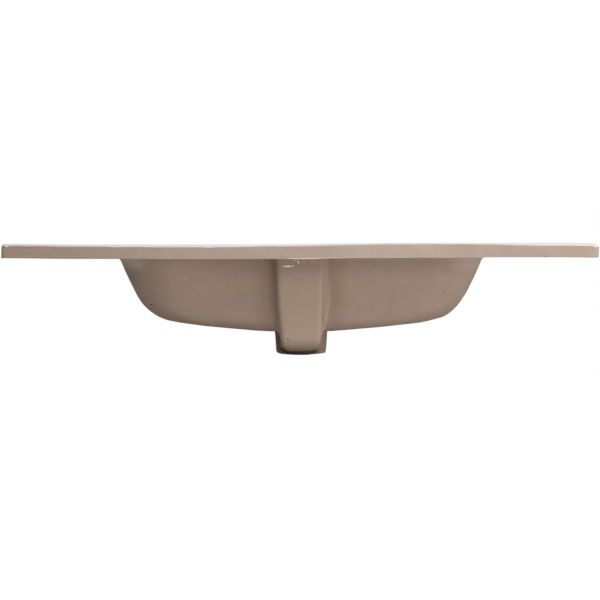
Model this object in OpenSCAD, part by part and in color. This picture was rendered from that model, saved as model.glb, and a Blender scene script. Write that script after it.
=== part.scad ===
// Ceramic countertop basin: a flat deck with a drafted bowl under it, an
// overflow channel down the back of the bowl and a round drain boss.
// The ceramic is one fired casting made of luted sections. Each section and
// each coat of glaze is drawn as its own solid, and so are the two loose
// pieces of the overflow inlet.
// X runs along the deck, +Y points to the wall and +Z up. The origin is the
// middle of the deck's outline, on the plane that rests on the cabinet.

/* [Deck] */
// Width of the deck, left to right
deck_w = 910; // [860:1:1000]
// Depth of the deck, front to back
deck_d = 465; // [450:1:500]
// Height of the deck's edge
deck_t = 22; // [20:1:28]
// Radius of the deck's four upright corners
deck_corner_r = 8; // [6:1:14]
// Radius of the edge between the top and the sides
top_edge_r = 4; // [3:0.5:5]
// Radius of the edge between the underside and the sides
bottom_edge_r = 1.5; // [1:0.5:3]
// Radius of the rolled edge where the top turns down into the bowl
rim_r = 8; // [6:1:9]
// Height of the step in the deck that the bowl and the channel are set in
step_h = 10; // [8:1:11]

/* [Bowl] */
// Outside width of the bowl at the underside of the deck
bowl_w = 607; // [560:1:640]
// From the deck's back edge to the bowl, at the underside of the deck
back_ledge = 118; // [112:1:130]
// From the deck's front edge to the bowl, at the underside of the deck
front_ledge = 50; // [45:1:65]
// From the underside of the deck down to the outside of the bowl's floor
bowl_h = 123; // [118:1:134]
// Thickness of the bowl's wall with its glaze
wall_t = 10; // [9:0.5:11]
// Radius of the bowl's upright corners, outside
corner_r = 90; // [80:1:105]
// Lean of the end walls from upright, in degrees
end_lean = 24.3; // [22:0.1:28]
// Lean of the back wall from upright, in degrees
back_lean = 12; // [9:0.5:15]
// Lean of the front wall from upright, in degrees
front_lean = 16; // [12:0.5:18]
// Radius of the bend from an end wall to the floor, outside
end_bend_r = 88; // [75:1:95]
// Radius of the bend from the front or back wall to the floor, outside
back_bend_r = 28; // [24:1:36]
// Fall of the floor from the ends to the drain, in degrees
end_fall = 5; // [3.5:0.5:6.5]
// Fall of the floor from the front and back to the drain, in degrees
back_fall = 2; // [1:0.5:3.5]
// Radius of the fillet between the bowl and the underside of the deck
root_r = 5; // [3:1:7]

/* [Drain] */
// From the deck's back edge to the middle of the drain
drain_from_back = 252; // [246:1:262]
// Diameter of the hole for the waste
drain_d = 45; // [43:0.5:46]
// Diameter of the recess for the waste's flange
recess_d = 68; // [64:1:71]
// Depth of the recess for the waste's flange
recess_h = 5; // [3:0.5:6]
// Diameter of the plug that the boss sets in the bowl's floor
plug_d = 80; // [77:1:82]
// Diameter of the boss where it meets the bowl
boss_top_d = 90; // [87:0.5:92]
// Diameter of the boss at its foot
boss_foot_d = 86; // [83:0.5:87]
// From the outside of the bowl's floor down to the boss's foot
boss_h = 41; // [38:1:44]
// Radius of the edge of the boss's foot
boss_edge_r = 5; // [3:0.5:6]
// Diameter of the overflow chamber round the waste
chamber_d = 64; // [58:1:66]
// Height of the overflow chamber
chamber_h = 20; // [17:1:21]
// Thickness of the ring under the chamber
foot_ring_t = 12; // [10:1:13]

/* [Overflow] */
// Width of the channel's outer face at the underside of the deck
channel_top_w = 72; // [68:1:78]
// Width of the channel's outer face at its foot
channel_foot_w = 60; // [56:1:63]
// How far the channel stands out from the back wall at the top
channel_out = 28; // [25:1:30]
// How far the channel's outer face leans in from top to foot
channel_in = 32; // [28:1:36]
// Lean of the channel's sides, seen from above, in degrees
flank_lean = 23; // [18:1:26]
// From the boss's foot up to the channel's foot
channel_rise = 12; // [10:1:13]
// Thickness of the channel's wall
channel_t = 7; // [6:0.5:8]
// Radius of the channel's outer edges
channel_edge_r = 9; // [8:0.5:11]
// Width of the port from the channel to the chamber
port_w = 34; // [28:1:38]
// Diameter of the overflow hole in the back wall
overflow_d = 26; // [24:0.5:28]
// From the underside of the deck down to the middle of the overflow hole
overflow_drop = 32; // [28:1:38]

/* [Overflow trim] */
// Diameter of the trim ring's flange
flange_d = 36; // [33:0.5:42]
// Thickness of the trim ring's flange
flange_t = 2.6; // [2:0.1:4]
// Outside diameter of the trim ring's barrel
barrel_d = 22; // [20:0.5:22]
// Thickness of the trim ring's barrel
barrel_t = 1.5; // [1:0.1:2]
// Length of the trim ring's barrel behind its flange
barrel_h = 16; // [14:0.5:18]
// Number of ribs on the rubber sleeve
rib_count = 3; // [2:1:4]

/* [Tap hole] */
// Diameter of the tap hole
tap_d = 35; // [32:0.5:38]
// From the deck's back edge to the middle of the tap hole
tap_from_back = 56; // [52:1:60]

/* [Finish] */
// Thickness of the white glaze
glaze_t = 0.8; // [0.6:0.1:1.2]
// Gap that the slip fills between two luted sections
slip_gap = 0.2; // [0.1:0.05:0.4]

/* [Hidden] */
$fn = 96;

bisque = [0.70, 0.62, 0.54];
glaze = [0.95, 0.95, 0.94];
chrome = [0.78, 0.79, 0.80];
rubber = [0.12, 0.12, 0.13];

overlap = 2;                          // how far a cutter runs past a face
hull_fn = 32;                         // facets round a channel's edge
back_y = deck_d / 2;
drain_y = back_y - drain_from_back;
tap_y = back_y - tap_from_back;
floor_z = -bowl_h;                    // outside of the bowl's floor at the drain
foot_z = floor_z - boss_h;
basin_z = floor_z + wall_t;           // glazed floor at the drain
seat_r = boss_top_d / 2 + 4;          // flat round the drain, inside and outside
core_r = 12;                          // end of the floor, inside the drain's hole
chamber_z = foot_z + foot_ring_t;
body_t = wall_t - glaze_t;            // wall of bare ceramic
glaze_foot = bottom_edge_r + 0.5;     // where the glaze stops on the deck's sides

// A wall is its distance from the drain at z = 0, its lean, the fall of the
// floor below it and the radius of the bend between them.
end_wall = [bowl_w / 2, end_lean, end_fall, end_bend_r];
back_wall = [drain_from_back - back_ledge, back_lean, back_fall, back_bend_r];
front_wall = [deck_d - drain_from_back - front_ledge, front_lean, back_fall, back_bend_r];
walls = [end_wall, back_wall, front_wall];

wall_steps = 3;
bend_steps = 7;
floor_steps = 3;
corner_steps = 9;
long_steps = 5;
short_steps = 2;
edge_steps = 4;

function mix(a, b, f) = a + (b - a) * f;

// Point of a wall's face at height z, as [distance, height], for a face that
// lies d inside the bowl's outer face.
function wall_point(w, z, d) = [w[0] - d / cos(w[1]) + z * tan(w[1]), z];

// Centre of the bend from wall to floor, for the face d inside.
function bend_centre(w, d) =
    let (tw = tan(w[1]), tf = tan(w[2]), r = w[3] - d,
         z0 = floor_z + d - seat_r * tf,
         s = (w[0] - d / cos(w[1]) + z0 * tw) / (1 - tf * tw),
         along = r * tan((90 - w[1] - w[2]) / 2))
    [s + along * sin(w[1]) - r * cos(w[1]), z0 + s * tf + along * cos(w[1]) + r * sin(w[1])];

// Profile of a face from height top down the wall and round the bend.
function profile(w, d, top) =
    let (r = w[3] - d, c = bend_centre(w, d), turn = 90 - w[1] - w[2],
         wall_foot = c + r * [cos(w[1]), -sin(w[1])])
    concat(
        [for (i = [0 : wall_steps - 1]) mix(wall_point(w, top, d), wall_foot, i / wall_steps)],
        [for (i = [0 : bend_steps]) let (a = -w[1] - turn * i / bend_steps) c + r * [cos(a), sin(a)]]);

// One quarter of a rounded rectangle with half sides a and b, from the middle
// of an end to the middle of a long side, with a point at half width flat.
function quarter(a, b, r, flat) = concat(
    [for (i = [0 : short_steps - 1]) [a, (b - r) * i / short_steps]],
    [for (i = [0 : corner_steps]) let (t = 90 * i / corner_steps) [a - r + r * cos(t), b - r + r * sin(t)]],
    [for (i = [1 : long_steps]) [mix(a - r, flat, i / long_steps), b]]);

// Four quarters made from one, with a point in the middle of each long side.
function four(q, b) = let (n = len(q) - 1) concat(
    q, [[0, b]], [for (i = [n : -1 : 1]) [-q[i][0], q[i][1]]],
    [for (p = q) [-p[0], -p[1]]], [[0, -b]], [for (i = [n : -1 : 1]) [q[i][0], -q[i][1]]]);

// A ring round the bowl through one point of each wall's profile. It is level
// for the width of the flat and then changes height towards the ends.
function ring(p, r) =
    let (a = p[0][0], b = (p[1][0] + p[2][0]) / 2, y0 = drain_y + (p[1][0] - p[2][0]) / 2)
    [for (q = four(quarter(a, b, r, seat_r), b))
        let (f = max(0, abs(q[0]) - seat_r) / (a - seat_r))
        [q[0], y0 + q[1], mix(q[1] > 0 ? p[1][1] : p[2][1], p[0][1], f)]];

// A level ring on the face d inside, moved out by grow, at height z.
function level_ring(z, d, grow) =
    ring([for (w = walls) wall_point(w, z, d) + [grow, 0]], corner_r - d + grow);

function circle_ring(r, z) =
    let (n = len(ring([for (w = walls) wall_point(w, 0, 0)], corner_r)))
    [for (i = [0 : n - 1]) [r * cos(360 * i / n), drain_y + r * sin(360 * i / n), z]];

// Rings of the face d inside: walls, bends and the floor to the drain.
function face_rings(d, top) =
    let (p = [for (w = walls) profile(w, d, top)], n = len(p[0]) - 1,
         r = [for (i = [0 : n]) ring([for (k = [0 : 2]) p[k][i]], mix(corner_r, 0.8 * corner_r, i / n) - d)],
         seat = circle_ring(seat_r, floor_z + d))
    concat(r,
        [for (i = [1 : floor_steps]) [for (j = [0 : len(seat) - 1]) mix(r[n][j], seat[j], i / floor_steps)]],
        [circle_ring(core_r, floor_z + d)]);

function raised(ring, z) = [for (q = ring) [q[0], q[1], z]];

// Outline of the bowl's root on the underside of the deck, moved out by gap,
// and drawn at height z.
function root_outline(gap, z) = raised(level_ring(0, 0, root_r + gap), z);

// Rings outside the bowl: the part let into the deck, then the fillet.
function root_rings(gap) = concat(
    [root_outline(gap, step_h), root_outline(gap, 0)],
    [for (i = [1 : edge_steps - 1]) let (f = i / edge_steps)
        level_ring(-root_r * f, 0, gap + root_r * (1 - sqrt(1 - pow(1 - f, 2))))]);

// Rings of the rolled edge and the opening's wall below it, from the top of
// the deck down to the step, for the glazed face or the ceramic under it.
function rim_rings(d) =
    let (r = rim_r - wall_t + d, z = deck_t - rim_r,
         c = [for (w = walls) wall_point(w, z, wall_t) + [rim_r / cos(w[1]), 0]])
    concat([for (i = [0 : edge_steps]) let (f = i / edge_steps)
        ring([for (k = [0 : 2]) let (a = mix(90, 180 - walls[k][1], f)) c[k] + r * [cos(a), sin(a)]],
             corner_r - d + r * (1 - sin(90 * f)))],
        [level_ring(step_h, d, 0)]);

// Solid through a list of rings that run down, with a flat cap at each end
// that is drawn as a fan from its middle.
module skin(rings) {
    n = len(rings[0]);
    m = len(rings);
    top_mid = m * n;
    foot_mid = top_mid + 1;
    sides = [for (i = [0 : m - 2], j = [0 : n - 1], k = [0, 1])
        let (p = i * n + j, q = i * n + (j + 1) % n, s = p + n, t = q + n)
        k == 0 ? [p, q, s] : [q, t, s]];
    top = [for (j = [0 : n - 1]) [(j + 1) % n, j, top_mid]];
    foot = [for (j = [0 : n - 1]) [(m - 1) * n + j, (m - 1) * n + (j + 1) % n, foot_mid]];
    polyhedron(points = concat([for (r = rings, q = r) q], [middle(rings[0]), middle(rings[m - 1])]),
               faces = concat(top, sides, foot));
}

function middle(ring) = (ring[0] + ring[len(ring) / 2]) / 2;

// One level of the deck's outline. The inset is from the front and the sides,
// back_inset from the back, and both grow by extra where an edge is rounded.
function slab_ring(inset, back_inset, extra, z) =
    let (r = deck_corner_r - extra, x = deck_w / 2 - inset - extra - r,
         yb = deck_d / 2 - back_inset - extra - r, yf = deck_d / 2 - inset - extra - r)
    [for (k = [0 : 3], i = [0 : 6]) let (t = 90 * k + 15 * i,
        cx = k == 0 || k == 3 ? x : -x, cy = k < 2 ? yb : -yf)
        [cx + r * cos(t), cy + r * sin(t), z]];

// The deck's bare ceramic. The glaze coats its top, front and ends, and ends
// at the back under the rounded edge.
module slab() {
    r = top_edge_r - glaze_t;
    z = deck_t - top_edge_r;
    skin(concat(
        [for (i = [0 : edge_steps]) let (a = 90 * i / edge_steps)
            slab_ring(glaze_t, glaze_t, r * (1 - sin(a)), z + r * cos(a))],
        [slab_ring(glaze_t, 0, 0, z - 0.1)],
        [for (i = [0 : 2]) let (a = 45 * i)
            slab_ring(glaze_t, 0, bottom_edge_r * (1 - cos(a)), bottom_edge_r * (1 - sin(a)))]));
}

module glazed_slab() {
    z = deck_t - top_edge_r;
    skin(concat(
        [for (i = [0 : edge_steps]) let (a = 90 * i / edge_steps)
            slab_ring(0, 0, top_edge_r * (1 - sin(a)), z + top_edge_r * cos(a))],
        [slab_ring(0, 0, 0, glaze_foot)]));
}

// Everything above the step inside the opening.
module opening(d) {
    rings = rim_rings(d);
    skin(concat([raised(rings[0], deck_t + overlap)], rings, [raised(rings[len(rings) - 1], 0)]));
}

// The step that the bowl and the channel are set in.
module socket() {
    skin([root_outline(slip_gap, step_h), root_outline(slip_gap, -overlap)]);
    translate([0, 0, -overlap]) linear_extrude(step_h + overlap) channel_section(slip_gap);
}

module tap_hole() {
    translate([0, tap_y, -overlap]) cylinder(h = deck_t + 2 * overlap, d = tap_d);
}

module deck() {
    color(bisque)
    difference() {
        slab();
        opening(body_t);
        socket();
        tap_hole();
    }
}

module deck_glaze() {
    color(glaze)
    difference() {
        glazed_slab();
        opening(wall_t);
        difference() {
            slab();
            opening(body_t);
        }
        socket();
        tap_hole();
    }
}

// The bowl's outer shape as a solid.
module bowl_block(gap) {
    skin(concat(root_rings(gap), face_rings(-gap, -root_r)));
}

module overflow_place() {
    p = wall_point(back_wall, -overflow_drop, wall_t);
    translate([0, drain_y + p[0], p[1]]) rotate([-90 - back_lean, 0, 0]) children();
}

module bowl() {
    color(bisque)
    difference() {
        bowl_block(0);
        skin(bowl_inside(body_t));
        translate([0, drain_y, floor_z - overlap]) cylinder(h = wall_t + 2 * overlap, d = plug_d);
        overflow_place() translate([0, 0, -overlap]) cylinder(h = wall_t + 3 * overlap, d = overflow_d);
    }
}

// The face d inside as a solid that fills the bowl up to the deck.
function bowl_inside(d) = face_rings(d, step_h);

module bowl_glaze() {
    r = plug_d / 2;
    c = recess_d / 2;
    color(glaze)
    union() {
        difference() {
            skin(bowl_inside(body_t));
            skin(bowl_inside(wall_t));
            translate([0, drain_y, floor_z]) cylinder(h = wall_t + overlap, d = plug_d);
            overflow_place() translate([0, 0, -overlap]) cylinder(h = wall_t + 2 * overlap, d = overflow_d);
        }
        translate([0, drain_y, basin_z]) rotate_extrude()
            polygon([[drain_d / 2, -recess_h], [c, -recess_h], [c, 0], [r, 0], [r, -glaze_t],
                     [c + glaze_t, -glaze_t], [c + glaze_t, -recess_h - glaze_t],
                     [drain_d / 2, -recess_h - glaze_t]]);
    }
}

// The boss's outer profile below the bowl, moved out by gap.
function boss_side(gap) =
    let (r = boss_foot_d / 2 - boss_edge_r, z = foot_z + boss_edge_r, e = boss_edge_r)
    concat([[boss_top_d / 2 + gap, floor_z]],
           [for (i = [0 : 5]) [r + (e + gap) * cos(18 * i), z - (e + gap) * sin(18 * i)]]);

module drain_boss() {
    p = plug_d / 2;
    c = recess_d / 2 + glaze_t;
    b = drain_d / 2;
    h = chamber_d / 2;
    seat = basin_z - recess_h - glaze_t;
    color(bisque)
    difference() {
        translate([0, drain_y, 0]) rotate_extrude()
            polygon(concat(
                [[b, foot_z]], [[b, chamber_z], [h, chamber_z], [h, chamber_z + chamber_h],
                 [b, chamber_z + chamber_h], [b, seat], [c, seat], [c, basin_z - glaze_t],
                 [p - slip_gap, basin_z - glaze_t], [p - slip_gap, floor_z]],
                boss_side(0)));
        port();
    }
}

// Port through the boss's wall, from the channel to the chamber.
module port() {
    z = foot_z + max(foot_ring_t, channel_rise + channel_t);
    translate([-port_w / 2, drain_y + drain_d / 2 + 4, z])
        cube([port_w, boss_top_d / 2 - drain_d / 2 + overlap, chamber_z + chamber_h - z - 1]);
}

// Plan of the channel under the deck: a face with rounded edges and sides
// that spread towards the bowl.
module channel_section(gap) {
    r = channel_edge_r;
    y = drain_y + back_wall[0] + channel_out;
    front_y = drain_y + back_wall[0] - 10;
    half = channel_top_w / 2;
    spread = half + (y - front_y) * tan(flank_lean);
    hull() {
        for (s = [-1, 1]) translate([s * (half - r), y - r]) circle(r = r + gap, $fn = hull_fn);
        translate([-spread - gap, front_y]) square([2 * spread + 2 * gap, 1]);
    }
}

// The channel's outer shape, set in by t for its bore. It stands behind the
// bowl and turns in under the floor to the boss, and its sides spread where
// they meet the floor.
module channel_block(t) {
    r = channel_edge_r - t;
    face_y = drain_y + back_wall[0] + channel_out - channel_in;
    z = foot_z + channel_rise + channel_edge_r;
    half = channel_foot_w / 2 - channel_edge_r;
    spread = boss_top_d / 2 - t;
    front_y = drain_y + 20;
    hull() {
        translate([0, 0, t > 0 ? -t - 2 : step_h - 1]) linear_extrude(1) offset(delta = -t) channel_section(0);
        for (s = [-1, 1]) {
            translate([s * half, face_y - channel_edge_r, z]) sphere(r = r, $fn = hull_fn);
            translate([s * (half + 3), front_y, z]) sphere(r = r, $fn = hull_fn);
        }
        translate([-spread, front_y, floor_z + 4]) cube([2 * spread, face_y - 20 - front_y, 1]);
    }
}

module overflow_channel() {
    color(bisque)
    difference() {
        channel_block(0);
        channel_block(channel_t);
        bowl_block(slip_gap);
        translate([0, drain_y, 0]) rotate_extrude()
            polygon(concat([[0, floor_z]], boss_side(slip_gap), [[0, foot_z - slip_gap]]));
    }
}

module overflow_ring() {
    bi = barrel_d / 2 - barrel_t;
    bo = barrel_d / 2;
    f = flange_d / 2;
    color(chrome)
    overflow_place() rotate_extrude()
        polygon([[bi, barrel_h], [bo - 0.4, barrel_h], [bo, barrel_h - 0.4], [bo, 0], [f, 0],
                 [f, -0.5], [f - 0.6, -1.3], [f - 1.8, -flange_t + 0.5], [f - 3.4, -flange_t],
                 [bi + 1.6, -flange_t], [bi + 0.4, -flange_t + 0.5], [bi, -flange_t + 1.6]]);
}

// Ribbed rubber between the barrel and the hole.
module overflow_sleeve() {
    ri = barrel_d / 2;
    ro = overflow_d / 2;
    pitch = wall_t / rib_count;
    color(rubber)
    overflow_place() rotate_extrude()
        polygon(concat([[ri, 0]],
            [for (i = [0 : rib_count - 1], q = [[-0.6, 0], [0, 0.3], [0, 0.55], [-0.6, 0.85]])
                [ro + q[0], (i + q[1]) * pitch]],
            [[ro - 0.6, wall_t], [ri, wall_t]]));
}

deck();
deck_glaze();
bowl();
bowl_glaze();
drain_boss();
overflow_channel();
overflow_ring();
overflow_sleeve();
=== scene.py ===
from math import acos, atan, copysign, cos, dist, exp, hypot, pi, radians, sin, sqrt, tan

import bmesh
import bpy
import numpy as np
from mathutils import Matrix, Vector, noise
from mathutils.geometry import delaunay_2d_cdt


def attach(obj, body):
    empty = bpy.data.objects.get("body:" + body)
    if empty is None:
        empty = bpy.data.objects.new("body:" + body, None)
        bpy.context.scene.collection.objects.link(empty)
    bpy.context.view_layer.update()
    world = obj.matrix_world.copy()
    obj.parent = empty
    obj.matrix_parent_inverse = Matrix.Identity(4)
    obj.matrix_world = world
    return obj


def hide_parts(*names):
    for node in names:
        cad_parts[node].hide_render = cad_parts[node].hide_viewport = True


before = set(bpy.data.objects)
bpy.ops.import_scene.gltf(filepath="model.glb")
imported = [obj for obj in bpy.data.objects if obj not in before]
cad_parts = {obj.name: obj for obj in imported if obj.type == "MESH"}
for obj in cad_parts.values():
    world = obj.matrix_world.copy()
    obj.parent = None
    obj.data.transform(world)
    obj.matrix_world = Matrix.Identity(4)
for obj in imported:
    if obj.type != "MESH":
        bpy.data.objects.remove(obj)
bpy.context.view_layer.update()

MM = 0.001

# Deck
DECK_W = 910
DECK_D = 465
DECK_T = 22
DECK_CORNER_R = 8
TOP_EDGE_R = 5
BOTTOM_EDGE_R = 0.8
END_RUN = 6  # the upper edge falls away over this length at both ends
END_FALL = 1.2
LEFT_END_LEAN = 1.0  # how far the end at -X leans in towards its foot
RIGHT_END_LEAN = 0.9  # how far the end at +X leans in towards its top
RIM_R = 8
TAP_D = 35
TAP_Y = 176.5
TAP_LIP_R = 2.5

# Bowl. Each wall is its distance from the drain at z = 0, its lean, the fall of
# the floor below it and the radius of the bend between them.
DRAIN_Y = -19.5
FLOOR_Z = -123
WALL_T = 10
CORNER_R = 90
ROOT_R = 5
SEAT_R = 49
END_WALL = (303.5, radians(24.3), radians(5), 88)
BACK_WALL = (134, radians(12), radians(2), 28)
FRONT_WALL = (163, radians(16), radians(2), 28)
WALLS = (END_WALL, BACK_WALL, FRONT_WALL)
WALL_SHARE = 0.3  # share of the corner's change of radius that is on the walls
CORNER_SHRINK = 0.2  # how much smaller the corner radius is at the floor
RAMP = 0.12  # softness of the line where the floor starts to rise

# Drain
DRAIN_D = 45
RECESS_D = 68
RECESS_H = 5
RECESS_EDGE_R = 2
BOSS_TOP_D = 88.8
BOSS_FOOT_D = 84.5
BOSS_FOOT_Z = -164
BOSS_EDGE_R = 6.5
BOSS_ROOT_R = 4
FLOOR_HOLE_R = 41  # hole in the clay of the floor, filled by the boss
CHAMBER_D = 64
CHAMBER_LOW_Z = -152
CHAMBER_HIGH_Z = -132
PORT_W = 34
PORT_H = 12

# Overflow channel
FACE_TOP_Y = 142.5
FACE_IN = 32  # how far the face leans in over its height
FACE_HEIGHT = 143
FACE_TOP_HALF = 36.5
FOOT_CORNER_R = 8  # lower corners of the face
CHANNEL_FOOT_Z = -152
CHANNEL_FOOT_R = 9
CHANNEL_EDGE_R = 9
CHANNEL_FLARE_R = 4
CHANNEL_T = 7
CHANNEL_END_R = 38  # how near the drain's axis the channel runs into the boss
# The channel's two sides, -X first: half width at the foot of the face, then half width and radius of the
# root down the wall, round the bend and under the floor, by share of the way, and a seed for the unevenness.
# The second side was wiped to a softer fillet.
CHANNEL_SIDES = (
    (30, ((0, 50), (0.31, 49.5), (0.39, 46), (0.51, 44), (0.6, 41), (0.7, 37.5), (1, 37)),
     ((0, 6), (0.4, 6), (0.6, 5), (0.7, 4.5)), 2.2),
    (32.5, ((0, 57.5), (0.28, 57), (0.4, 52), (0.52, 46), (0.6, 40.5), (0.7, 38), (1, 37)),
     ((0, 16), (0.28, 16), (0.4, 13), (0.6, 6), (0.7, 5)), 6.1))
FOOT_SKEW = -2.3  # the foot was luted a little to one side
HAND_FINISH = 0.9  # unevenness of the channel's edges

# Overflow inlet
OVERFLOW_D = 26
OVERFLOW_DROP = 32
FLANGE_D = 36
FLANGE_T = 2.6
BARREL_D = 22
BARREL_T = 1.5
BARREL_H = 16
SLEEVE_RIBS = 3

# Glaze
GLAZE_T = 0.8
CLAY_GAP = 0.3  # how far the clay lies under the glaze's surface
GLAZE_FOOT = 2  # where the glaze stops on the front and the ends
GLAZE_SWEEP = 38  # length over which its edge sweeps up on each end
LIP_REACH = 0.5  # height of the rounded lip where the coat ends
LIP_DEPTH = 0.75

# Where the glaze ends under the back edge: x and depth below the top.
GLAZE_LINE = ((-455, 5), (-438, 4.4), (-410, 4), (-365, 4.1), (-335, 3.4), (-289, 2.2), (-250, 1.5),
              (-165, 2), (-110, 1.8), (-77, 2), (-40, 2.9), (22, 3.1), (44, 2.8), (130, 4), (200, 4),
              (319, 3), (430, 2.7), (440, 3), (455, 3))

# Runs of glaze over the back edge, and one notch: x, half width and height.
DRIPS = ((444.3, 1.5, 2.4), (284, 7, 0.6), (137, 5, 1), (410, 1.8, 0.7), (-338, 2.2, -0.7),
         (-352, 2, 0.6), (-448, 4, 1))

# Kiln warp of the deck: x and rise.
WARP = ((-455, -0.5), (-395, 0), (-160, 0), (-65, -0.9), (8, -1.95), (100, -2.6), (340, -2.6),
        (455, -1.5))
WARP_END_Z = -120  # the warp dies out at this height
WARP_IN_FRONT = 0.35  # share of it along the front edge

# Kiln warp of the bowl's floor: x and rise. It grows to its full size between the two heights.
FLOOR_WARP = ((-290, 0), (-262, -1.5), (-247, -1.6), (-221, 1.4), (-197, 1.2), (-170, 1.4), (-110, 0.5),
              (-62, 0), (-49, -0.4), (-41, 0), (-35, 1.1), (-22, 1), (-9, 0.1), (15, 0.1), (28, 0.5),
              (38, 0.3), (48, -0.7), (70, -0.9), (104, -0.5), (152, 0), (185, 0.6), (208, 0.5), (225, -0.3),
              (240, -0.5), (290, 0))
FLOOR_WARP_Z = (-85, -105)

# How far each end of the bowl is drawn in, by height. It comes in over the first span of x and goes out
# over the second, both measured from the middle.
LEFT_END_DRAW = ((-100, 0.5), (-94, 0.4), (-88, 0.3), (-80, 0.9), (-70, 1.6), (-56, 0.35), (-30, 0.4),
                 (-19, 1), (-8, 1.6))
RIGHT_END_DRAW = ((-100, 0.5), (-85, 0.8), (-70, 1.4), (-40, 1.5), (-25, 1.9), (-8, 3.1))
END_DRAW_IN = (150, 250)
END_DRAW_OUT = (340, 420)

# How far the deck's lower back edge hangs down over the bowl: x and fall.
EDGE_SAG = ((-281, 0), (-274, 1.7), (-240, 1.3), (-130, 1.15), (-85, 0.5), (-50, 1), (-15, 1.1), (20, 0.8),
            (80, 0.2), (190, 0.5), (279, 0))
SAG_WIDTH = 9
SAG_HEIGHT = 4

# How far the drain boss stands off towards -X, by height, on the part of it in front of the channel.
BOSS_DRAW = ((-164, 0.4), (-145, 0.5), (-127, 0.4), (-123, 0))
BOSS_DRAW_Y = (10, 25)

# Steps along the curves, and the spacing of the points on the flats
CORNER_STEPS = 18
LONG_STEPS = 26
SHORT_STEPS = 5
EDGE_STEPS = 8
WALL_STEPS = 12
BEND_STEPS = 14
FLOOR_STEPS = 12
DOWN_STEPS = 16
UNDER_STEPS = 22
BACK_STEPS = 360
SIDE_STEPS = 96
DECK_CORNER_STEPS = 12
COAT_STEPS = 10
LIP_STEPS = 3
ROUND_STEPS = 96
TAP_STEPS = 72
GRID = 11
GUARD = 1.2  # width of the flat strip next to a rounded edge
FACE_BEND_Z = -104  # height on the channel's face that faces the start of the bowl's bend
SHARP_ANGLE = radians(50)


def mix(a, b, f):
    return a + (b - a) * f


def ease(f):
    f = min(1, max(0, f))
    return f * f * (3 - 2 * f)


def shares(steps, first=0):
    """The shares of the way after each of a number of even steps."""
    return [i / steps for i in range(first, steps + 1)]


def between(p, q, f):
    """The point a share f of the way from p to q."""
    return tuple(mix(a, b, f) for a, b in zip(p, q))


def around(middle, r, a):
    return (middle[0] + r * cos(a), middle[1] + r * sin(a))


def arc(middle, r, start, stop, steps):
    """Points on an arc, from start to stop in degrees, both ends included."""
    return [around(middle, r, radians(mix(start, stop, f))) for f in shares(steps)]


def wobble(*place):
    return noise.noise(Vector(place))


def ramp(value, start, stop):
    """0 before start, 1 after stop and a soft slope between them."""
    return ease((value - start) / (stop - start))


def along(pairs, x):
    """Value at x of a smooth line through pairs that run upwards in x."""
    if x <= pairs[0][0]:
        return pairs[0][1]
    for (x0, v0), (x1, v1) in zip(pairs, pairs[1:]):
        if x <= x1:
            return mix(v0, v1, ease((x - x0) / (x1 - x0)))
    return pairs[-1][1]


def warped(p):
    """The point after the deck's warp, with the parts that are out of true."""
    x, y, z = p
    back = DECK_D / 2
    to_end = max(0, (abs(x) - DECK_W / 2 + END_RUN) / END_RUN)
    height = max(0, z / DECK_T)
    at_bowl_end = ramp(abs(x), *END_DRAW_IN) * (1 - ramp(abs(x), *END_DRAW_OUT))
    if x > 0:
        inward = RIGHT_END_LEAN * height * to_end + along(RIGHT_END_DRAW, z) * at_bowl_end
    else:
        inward = LEFT_END_LEAN * (1 - height) * to_end + along(LEFT_END_DRAW, z) * at_bowl_end
    sideways = along(BOSS_DRAW, z) * (1 - ramp(y, *BOSS_DRAW_Y))
    rise = along(WARP, x) * (1 - ramp(z, 0, WARP_END_Z)) * mix(WARP_IN_FRONT, 1, ramp(y, -back, back))
    rise -= END_FALL * height ** 3 * to_end ** 2
    rise += along(FLOOR_WARP, x) * ramp(z, *FLOOR_WARP_Z)
    rise -= along(EDGE_SAG, x) * ramp(y, back - SAG_WIDTH, back - 1) * (1 - ramp(z, 0, SAG_HEIGHT))
    return (x - inward * copysign(1, x) - sideways, y, z + rise)


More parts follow.
